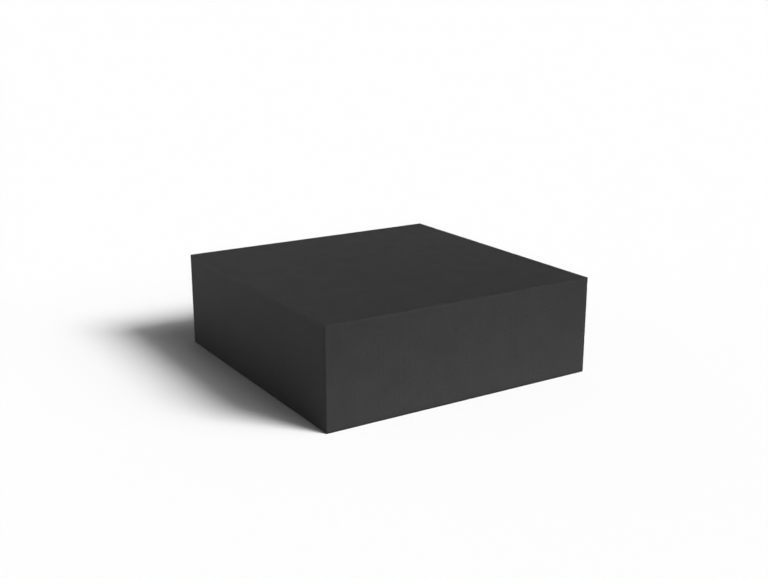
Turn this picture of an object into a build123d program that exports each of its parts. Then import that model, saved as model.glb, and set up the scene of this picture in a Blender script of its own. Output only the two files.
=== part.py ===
"""A drawing block of compressed charcoal: one square, flat block pressed from charcoal powder.

The block is a single solid. Powder and binder are squeezed in a square die between two flat punches and
dried, so there is nothing inside it, and nothing is joined to it.

Frame: millimetres, +Z up. The origin is the middle of the bottom face, which rests on the table.
The block is three times as wide and as deep as it is thick.
"""

from build123d import *
import os

# Driving dimensions, in millimetres.
SIDE = 60.0  # width along X and depth along Y
SIDE_TO_THICKNESS = 3.0
THICKNESS = SIDE / SIDE_TO_THICKNESS

# A pressed block comes out of its die with keen edges, broken only this much at 45 degrees.
# It is the same on all twelve, so any face can be the one that is drawn with.
EDGE_BREAK = 0.2

PARTS_FOLDER = "parts"
CUBIC_MM_IN_CUBIC_CM = 1000.0


def charcoal_block():
    """The pressed block, lying on its bottom face."""
    pressed = Box(SIDE, SIDE, THICKNESS, align=(Align.CENTER, Align.CENTER, Align.MIN))
    return chamfer(pressed.edges(), EDGE_BREAK)


def write_node(name, solid):
    """Writes one named sub-part as a STEP file and prints its size."""
    solid.label = name
    export_step(solid, os.path.join(PARTS_FOLDER, f"{name}.step"))
    size = solid.bounding_box().size
    volume = solid.volume / CUBIC_MM_IN_CUBIC_CM
    print(f"{name}: {size.X:.2f} x {size.Y:.2f} x {size.Z:.2f} mm, {volume:.2f} cm3")


os.makedirs(PARTS_FOLDER, exist_ok=True)
write_node("charcoal_block", charcoal_block())
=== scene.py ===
"""The looks of a drawing block of compressed charcoal, on a pale floor in soft studio light.

Everything is in metres, in the part's own frame: +Z up, and the origin in the middle of the bottom face.
The block is one pressed solid, so one piece stands for the CAD solid: the same box with the slightly worn
edges, uneven faces and small pores of pressed powder, all of them cut inwards so that its size stays.
"""

import math

import bpy
import numpy as np
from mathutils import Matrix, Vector, noise


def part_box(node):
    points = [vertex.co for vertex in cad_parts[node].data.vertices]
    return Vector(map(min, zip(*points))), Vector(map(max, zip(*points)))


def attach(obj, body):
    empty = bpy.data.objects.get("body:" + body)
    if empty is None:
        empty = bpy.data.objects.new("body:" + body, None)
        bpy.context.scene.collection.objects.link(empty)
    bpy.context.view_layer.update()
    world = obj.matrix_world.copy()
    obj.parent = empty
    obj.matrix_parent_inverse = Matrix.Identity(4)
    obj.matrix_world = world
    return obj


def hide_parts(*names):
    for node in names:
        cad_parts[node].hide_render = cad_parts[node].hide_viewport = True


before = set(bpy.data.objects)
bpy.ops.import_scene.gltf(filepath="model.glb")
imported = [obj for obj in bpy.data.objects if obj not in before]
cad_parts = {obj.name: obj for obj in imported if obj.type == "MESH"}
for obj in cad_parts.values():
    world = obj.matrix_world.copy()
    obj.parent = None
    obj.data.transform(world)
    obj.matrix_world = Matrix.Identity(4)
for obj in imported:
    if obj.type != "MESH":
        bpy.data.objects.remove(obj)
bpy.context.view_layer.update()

MM = 0.001
NODE = "charcoal_block"

# The mesh: how far apart its lines are, from the finest at an edge to the widest across a face.
FINEST_STEP = 0.05 * MM
STEP_GROWTH = 1.35
WIDEST_STEP = 0.40 * MM

# Worn edges: the radius wanders along each edge, and powder has crumbled away here and there.
EDGE_RADIUS = 0.10 * MM
EDGE_RADIUS_WANDER = 0.02 * MM
EDGE_WANDER_LENGTH = 4.0 * MM
CRUMBLE_DEPTH = 0.015 * MM
CRUMBLE_LENGTH = 0.7 * MM
# The band along the edges where powder crumbles, where the edges are rubbed, and where a highlight is
# painted.
EDGE_BAND = 0.45 * MM

# Nicks: small bites out of the edges.
NICK_COUNT = 50
NICK_RADIUS = (0.35 * MM, 0.7 * MM)
NICK_DEPTH = (0.012 * MM, 0.045 * MM)

# Faces: a press never leaves powder quite flat. Each layer of relief has a length and a depth.
FACE_RELIEF = (
    (14.0 * MM, 0.018 * MM),
    (4.5 * MM, 0.007 * MM),
    (1.4 * MM, 0.003 * MM),
)

# Pores: shallow round hollows where a coarse grain was pulled out of a face.
PORE_COUNT = 260
PORE_RADIUS = (0.45 * MM, 0.9 * MM)
PORE_DEPTH = (0.008 * MM, 0.024 * MM)

# What makes the unevenness the same in every run: a seed for the nicks and pores, and the place in the noise
# where each kind of wandering starts, so that no two of them line up.
SEED = 7
EDGE_RADIUS_START = 3.1
CRUMBLE_START = 11.7
RELIEF_START = 23.0

# The names under which the mesh hands its edge band and its nicks and pores to the material.
# The edge band: rubbed wear in the roughness, and in the colour both rubbed wear and a painted highlight.
EDGE_WEAR_AND_HIGHLIGHT = "edge_wear_and_highlight"
# The nicks and pores, whose colour is darkened as painted shade.
HOLLOW_SHADE = "hollow_shade"

# The charcoal's own colour is nearly black, and its weak sheen makes it dark grey: powder scatters what a
# smooth solid would mirror.
CHARCOAL = (0.0145, 0.0145, 0.0145)
CHARCOAL_GLOSS = 0.12
CHARCOAL_ROUGHNESS = 0.66
TONE_RANGE = (0.6, 1.4)
TONE_MIDDLE = 0.5

# Its fine structure: how wide each kind of mark is, and what it adds to the tone, roughness and height.
# Powder, clouds and drag lines swing both ways, and the rest only act where they are.
POWDER_WIDTH = 0.30 * MM
CLOUD_WIDTH = 5.0 * MM
DRAG_LINE_WIDTH = 0.5 * MM
DRAG_LINE_STRETCH = 30.0
# Sparse light specks in the powder, which the colour lightens further as painted glints.
FLECK_SPACING = 0.9 * MM
FLECK_EDGE = (0.16, 0.08)
FLECK_RARITY = 0.8
# In the tone: the edge band is rubbed wear plus a painted highlight, and the specks are partly painted
# glints.
# The darkening in the nicks and pores is painted shade.
TONE = {"powder": 1.3, "clouds": 0.6, "drag_lines": 0.25, "flecks_and_glints": 0.9, "edge": 0.08, "hollow_shade": -0.18}
ROUGHNESS = {"powder": 0.15, "clouds": 0.12, "flecks_and_glints": -0.20, "edge": -0.06}
HEIGHT = {"powder": 0.7, "drag_lines": 0.2, "flecks_and_glints": -0.4}
HEIGHT_UNIT = 0.04 * MM

# Noise runs from 0 to 1 around its middle, and its detail is how many finer layers it is made of.
NOISE_MIDDLE = 0.5
PLAIN_DETAIL = 2.0
POWDER_DETAIL = 3.0
CLOUD_DETAIL = 4.0

# The studio. Light is stated by how bright it makes the floor, where 1 is just white. The key light is
# brightest in its middle, so it is made of two discs: (brightness, angle across).
FLOOR_ALBEDO = 0.8
FLOOR_HALF_WIDTH = 40.0
KEY_HEADING = math.radians(-57.7)
KEY_HEIGHT = math.radians(37.75)
KEY_DISCS = {"key_core": (0.650, math.radians(22.4)), "key_halo": (0.243, math.radians(49.4))}

# Light from all round: a dim ceiling, and a bright low wall behind the block that fades upwards.
CEILING = 0.104
WALL = 20.8
WALL_FALLOFF = 25.0
WALL_HEADING = math.radians(95.0)
WALL_FOCUS = 2.0
BACKDROP = 0.99

# A white card lies in front of the block and lifts the foot of that face.
CARD_SIZE = (80.0 * MM, 31.8 * MM)
CARD_PLACE = Vector((5.0, -46.1, 0.3)) * MM
CARD_RADIANCE = 1.01

# The camera looks along a heading and down a tilt at a point beside the middle of the block.
LENS_MM = 50.0
SENSOR_MM = 36.0
CAMERA_HEADING = math.radians(57.876)
CAMERA_TILT = math.radians(-15.807)
CAMERA_DISTANCE = 241.05 * MM
CAMERA_TARGET = Vector((9.52, 13.99, 10.0)) * MM
CAMERA_CLIP = (0.001, 100.0)


# ---------------------------------------------------------------------------------------------- mesh


def stations(span):
    """Places along an edge of the box, from -span / 2 to span / 2, close together near both ends."""
    near = [0.0]
    step = FINEST_STEP
    while step < WIDEST_STEP:
        near.append(near[-1] + step)
        step *= STEP_GROWTH
    middle = span - 2 * near[-1]
    cells = math.ceil(middle / WIDEST_STEP)
    even = [near[-1] + middle * i / cells for i in range(1, cells)]
    far = [span - place for place in reversed(near)]
    return np.array(near + even + far) - span / 2


def box_grid(spans):
    """(points, quads) of a closed box centred on the origin, whose six faces share their edge points."""
    lines = [stations(span) for span in spans]
    counts = [len(line) for line in lines]
    i, j, k = np.indices(counts)
    last = [count - 1 for count in counts]
    on_skin = (i % last[0] == 0) | (j % last[1] == 0) | (k % last[2] == 0)
    number = np.full(counts, -1)
    number[on_skin] = np.arange(on_skin.sum())
    points = np.stack([lines[0][i], lines[1][j], lines[2][k]], axis=-1)[on_skin]
    sheets = (
        (number[:, :, 0], False),
        (number[:, :, -1], True),
        (number[:, 0, :], True),
        (number[:, -1, :], False),
        (number[0, :, :], False),
        (number[-1, :, :], True),
    )
    quads = [sheet_quads(sheet, outward) for sheet, outward in sheets]
    return points, np.concatenate(quads)


def sheet_quads(sheet, outward):
    """The quads of one face from its grid of point numbers, wound so that they face out."""
    corners = [sheet[:-1, :-1], sheet[1:, :-1], sheet[1:, 1:], sheet[:-1, 1:]]
    if not outward:
        corners.reverse()
    return np.stack([corner.ravel() for corner in corners], axis=-1)


def wander(points, length, offset):
    """Smooth noise from 0 to 1 at each point, whose bumps are about one length across."""
    places = points / length + offset
    values = np.array([noise.noise(Vector(place)) for place in places])
    return np.clip((1.0 + values) / 2, 0.0, 1.0)


def rounded(points, half, radius):
    """(points, outward directions) after rounding the box's edges to a radius given at each point."""
    core = np.clip(points, radius[:, None] - half, half - radius[:, None])
    out = points - core
    out /= np.linalg.norm(out, axis=1)[:, None]
    return core + radius[:, None] * out, out


def distance_to_edge(points, half):
    """How far each point of the box's skin is from its nearest edge."""
    inset = np.sort(half - np.abs(points), axis=1)
    return inset[:, 1]


def bites(points, centres, radii, depths):
    """How deep shallow round bites go at each point."""
    depth = np.zeros(len(points))
    for centre, radius, deepest in zip(centres, radii, depths):
        near = 1.0 - np.sum((points - centre) ** 2, axis=1) / radius**2
        depth = np.maximum(depth, deepest * np.clip(near, 0.0, None) ** 2)
    return depth


def places_on_edges(rng, half, count):
    """Random places on the box's twelve edges, more of them on the longer ones."""
    signs = rng.choice((-1.0, 1.0), size=(count, len(half)))
    places = signs * half
    along = rng.choice(len(half), size=count, p=half / half.sum())
    rows = np.arange(count)
    places[rows, along] = rng.uniform(-1.0, 1.0, count) * half[along]
    return places


def places_on_faces(rng, half, count):
    """Random places on the box's six faces, in proportion to their areas."""
    areas = half.prod() / half
    facing = rng.choice(len(half), size=count, p=areas / areas.sum())
    places = rng.uniform(-1.0, 1.0, (count, len(half))) * half
    rows = np.arange(count)
    places[rows, facing] = rng.choice((-1.0, 1.0), size=count) * half[facing]
    return places


def pressed_block(low, high):
    """The block's mesh, as a box between two corners that is worn and uneven within that box."""
    low, high = np.array(low), np.array(high)
    half = (high - low) / 2
    sharp, quads = box_grid(high - low)
    rng = np.random.default_rng(SEED)

    edge_distance = distance_to_edge(sharp, half)
    edge_share = np.exp(-((edge_distance / EDGE_BAND) ** 2))
    swing = 2 * wander(sharp, EDGE_WANDER_LENGTH, EDGE_RADIUS_START) - 1
    radius = EDGE_RADIUS + EDGE_RADIUS_WANDER * swing
    points, outward = rounded(sharp, half, radius)

    relief = CRUMBLE_DEPTH * edge_share * wander(sharp, CRUMBLE_LENGTH, CRUMBLE_START)
    for layer, (length, depth) in enumerate(FACE_RELIEF):
        relief += depth * wander(sharp, length, RELIEF_START + layer)
    relief -= relief.min()
    nicks = bites(
        sharp,
        places_on_edges(rng, half, NICK_COUNT),
        rng.uniform(*NICK_RADIUS, NICK_COUNT),
        rng.uniform(*NICK_DEPTH, NICK_COUNT),
    )
    pores = bites(
        sharp,
        places_on_faces(rng, half, PORE_COUNT),
        rng.uniform(*PORE_RADIUS, PORE_COUNT),
        rng.uniform(*PORE_DEPTH, PORE_COUNT),
    )
    points -= outward * (relief + nicks + pores)[:, None]
    points += (low + high) / 2

    mesh = bpy.data.meshes.new("pressed_charcoal")
    mesh.from_pydata(points.tolist(), [], quads.tolist())
    mesh.shade_smooth()
    # The edge band, for rubbed wear and for a painted highlight along the edges.
    store(mesh, EDGE_WEAR_AND_HIGHLIGHT, edge_share)
    # How deep the nicks and pores go, which the material turns into painted shade.
    store(mesh, HOLLOW_SHADE, np.clip((nicks + pores) / PORE_DEPTH[1], 0.0, 1.0))
    return mesh


def store(mesh, name, values):
    """Keeps one number for each point on the mesh, for the material to read."""
    attribute = mesh.attributes.new(name, "FLOAT", "POINT")
    attribute.data.foreach_set("value", values.astype(np.float32))


# ------------------------------------------------------------------------------------------ material


def add(tree, kind, inputs=None, **settings):
    """Adds a shader node. inputs gives its sockets, by name or number, a value or another node's output."""
    made = tree.nodes.new(kind)
    for name, value in settings.items():
        setattr(made, name, value)
    for name, value in (inputs or {}).items():
        if isinstance(value, bpy.types.NodeSocket):
            tree.links.new(value, made.inputs[name])
        else:
            made.inputs[name].default_value = value
    return made


def add_math(tree, operation, first, second):
    """Adds a maths node and gives its result."""
    return add(tree, "ShaderNodeMath", {0: first, 1: second}, operation=operation).outputs[0]


def grain(tree, place, size, detail=PLAIN_DETAIL, stretch=(1.0, 1.0, 1.0)):
    """Noise from -0.5 to 0.5, with grains about one size across, stretched along an axis if asked."""
    scale = [1 / (size * s) for s in stretch]
    fitted = add(tree, "ShaderNodeMapping", {"Vector": place, "Scale": scale})
    made = add(tree, "ShaderNodeTexNoise", {"Vector": fitted.outputs[0], "Scale": 1.0, "Detail": detail})
    return add_math(tree, "SUBTRACT", made.outputs[0], NOISE_MIDDLE)


def layered(tree, start, layers, strengths):
    """start, plus each named layer times its strength."""
    total = start
    for name, strength in strengths.items():
        total = add_math(tree, "ADD", add_math(tree, "MULTIPLY", layers[name], strength), total)
    return total


def charcoal_layers(tree):
    """The kinds of mark on pressed charcoal, and where painted light and shade go, each as a number over its
    surface.
    """
    place = add(tree, "ShaderNodeTexCoord").outputs["Object"]
    spots = add(tree, "ShaderNodeTexVoronoi", {"Vector": place, "Scale": 1 / FLECK_SPACING})
    flecks_and_glints = add(
        tree,
        "ShaderNodeMapRange",
        {"Value": spots.outputs["Distance"], "From Min": FLECK_EDGE[0], "From Max": FLECK_EDGE[1]},
    )
    chosen = add_math(tree, "GREATER_THAN", spots.outputs["Color"], FLECK_RARITY)
    return {
        "powder": grain(tree, place, POWDER_WIDTH, POWDER_DETAIL),
        "clouds": grain(tree, place, CLOUD_WIDTH, CLOUD_DETAIL),
        "drag_lines": grain(tree, place, DRAG_LINE_WIDTH, stretch=(1.0, 1.0, DRAG_LINE_STRETCH)),
        # Light specks, partly real and partly painted glints in the colour.
        "flecks_and_glints": add_math(tree, "MULTIPLY", flecks_and_glints.outputs[0], chosen),
        # The edge band: rubbed wear, and a painted highlight that lightens the colour.
        "edge": add(tree, "ShaderNodeAttribute", attribute_name=EDGE_WEAR_AND_HIGHLIGHT).outputs["Fac"],
        # Painted shade: darker colour in the nicks and pores.
        "hollow_shade": add(tree, "ShaderNodeAttribute", attribute_name=HOLLOW_SHADE).outputs["Fac"],
    }


def charcoal_material():
    """Matte pressed powder: grain, clouds, die drag lines, rubbed edges, and painted highlights, glints and
    shade.
    """
    material = bpy.data.materials.new("compressed_charcoal")
    material.use_nodes = True
    tree = material.node_tree
    shader = tree.nodes["Principled BSDF"]
    shader.inputs["Specular IOR Level"].default_value = CHARCOAL_GLOSS
    layers = charcoal_layers(tree)

    colour = add(tree, "ShaderNodeMix", data_type="RGBA", clamp_factor=False)
    tree.links.new(layered(tree, TONE_MIDDLE, layers, TONE), colour.inputs["Factor"])
    for end, shade in zip("AB", TONE_RANGE):
        colour.inputs[end].default_value = (*[shade * c for c in CHARCOAL], 1.0)
    tree.links.new(colour.outputs["Result"], shader.inputs["Base Color"])

    rough = layered(tree, CHARCOAL_ROUGHNESS, layers, ROUGHNESS)
    tree.links.new(rough, shader.inputs["Roughness"])

    height = layered(tree, 0.0, layers, HEIGHT)
    bump = add(tree, "ShaderNodeBump", {"Height": height, "Distance": HEIGHT_UNIT})
    tree.links.new(bump.outputs[0], shader.inputs["Normal"])
    return material


# -------------------------------------------------------------------------------------------- studio


def studio_floor():
    """A wide sheet of matt white paper under the block."""
    mesh = bpy.data.meshes.new("studio_floor")
    signs = ((-1, -1), (1, -1), (1, 1), (-1, 1))
    corners = [(x * FLOOR_HALF_WIDTH, y * FLOOR_HALF_WIDTH, 0.0) for x, y in signs]
    mesh.from_pydata(corners, [], [range(len(corners))])
    floor = bpy.data.objects.new("studio_floor", mesh)
    bpy.context.scene.collection.objects.link(floor)
    material = bpy.data.materials.new("white_paper")
    material.use_nodes = True
    shader = material.node_tree.nodes["Principled BSDF"]
    shader.inputs["Base Color"].default_value = (FLOOR_ALBEDO, FLOOR_ALBEDO, FLOOR_ALBEDO, 1.0)
    shader.inputs["Roughness"].default_value = 1.0
    shader.inputs["Specular IOR Level"].default_value = 0.0
    mesh.materials.append(material)


def direction(heading, height):
    """The unit vector along a heading, turned anticlockwise from +X, and a height above the horizon."""
    level = math.cos(height)
    return Vector((level * math.cos(heading), level * math.sin(heading), math.sin(height)))


def key_light():
    """A broad soft light, high on the camera's right."""
    for name, (brightness, width) in KEY_DISCS.items():
        light = bpy.data.lights.new(name, "SUN")
        light.energy = brightness * math.pi / (FLOOR_ALBEDO * math.sin(KEY_HEIGHT))
        light.angle = width
        lamp = bpy.data.objects.new(name, light)
        lamp.rotation_euler = direction(KEY_HEADING, KEY_HEIGHT).to_track_quat("Z", "Y").to_euler()
        bpy.context.scene.collection.objects.link(lamp)


def surroundings():
    """Light from the ceiling and the low wall. What shows above the floor's far edge is plain white."""
    world = bpy.data.worlds.new("studio")
    bpy.context.scene.world = world
    world.use_nodes = True
    tree = world.node_tree
    looking = add(tree, "ShaderNodeTexCoord").outputs["Generated"]
    rise = add(tree, "ShaderNodeSeparateXYZ", {0: looking}).outputs["Z"]
    level = add(tree, "ShaderNodeMapRange", {"Value": rise, "To Min": 1.0, "To Max": 0.0}).outputs[0]
    low = add_math(tree, "POWER", level, WALL_FALLOFF)
    heading = {0: looking, 1: direction(WALL_HEADING, 0.0)}
    towards = add(tree, "ShaderNodeVectorMath", heading, operation="DOT_PRODUCT").outputs["Value"]
    side = add(tree, "ShaderNodeMapRange", {"Value": towards, "From Min": -1.0}).outputs[0]
    wall = add_math(tree, "MULTIPLY", low, add_math(tree, "POWER", side, WALL_FOCUS))
    light = add_math(tree, "ADD", CEILING, add_math(tree, "MULTIPLY", wall, WALL))
    seen = add(tree, "ShaderNodeLightPath").outputs["Is Camera Ray"]
    shown = add(tree, "ShaderNodeMix", {"Factor": seen, "A": light, "B": BACKDROP}).outputs["Result"]
    background = tree.nodes["Background"]
    background.inputs["Color"].default_value = (1.0, 1.0, 1.0, 1.0)
    tree.links.new(shown, background.inputs["Strength"])


def bounce_card():
    """The white card in front of the block. It gives off the light it would throw back."""
    light = bpy.data.lights.new("bounce_card", "AREA")
    light.shape = "RECTANGLE"
    light.size, light.size_y = CARD_SIZE
    light.energy = CARD_RADIANCE * math.pi * light.size * light.size_y
    card = bpy.data.objects.new("bounce_card", light)
    card.location = CARD_PLACE
    card.rotation_euler.x = math.pi
    card.visible_camera = False
    bpy.context.scene.collection.objects.link(card)


def camera():
    """The camera, set back from its target along the way it looks."""
    data = bpy.data.cameras.new("camera")
    data.lens = LENS_MM
    data.sensor_width = SENSOR_MM
    data.clip_start, data.clip_end = CAMERA_CLIP
    view = bpy.data.objects.new("camera", data)
    looking = direction(CAMERA_HEADING, CAMERA_TILT)
    view.location = CAMERA_TARGET - CAMERA_DISTANCE * looking
    view.rotation_euler = looking.to_track_quat("-Z", "Y").to_euler()
    bpy.context.scene.collection.objects.link(view)
    bpy.context.scene.camera = view


# ------------------------------------------------------------------------------------------- the scene


camera()
studio_floor()
key_light()
bounce_card()
surroundings()
bpy.context.scene.view_settings.view_transform = "Standard"

block = bpy.data.objects.new("pressed_block", pressed_block(*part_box(NODE)))
block.data.materials.append(charcoal_material())
bpy.context.scene.collection.objects.link(block)
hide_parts(NODE)
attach(block, "root")
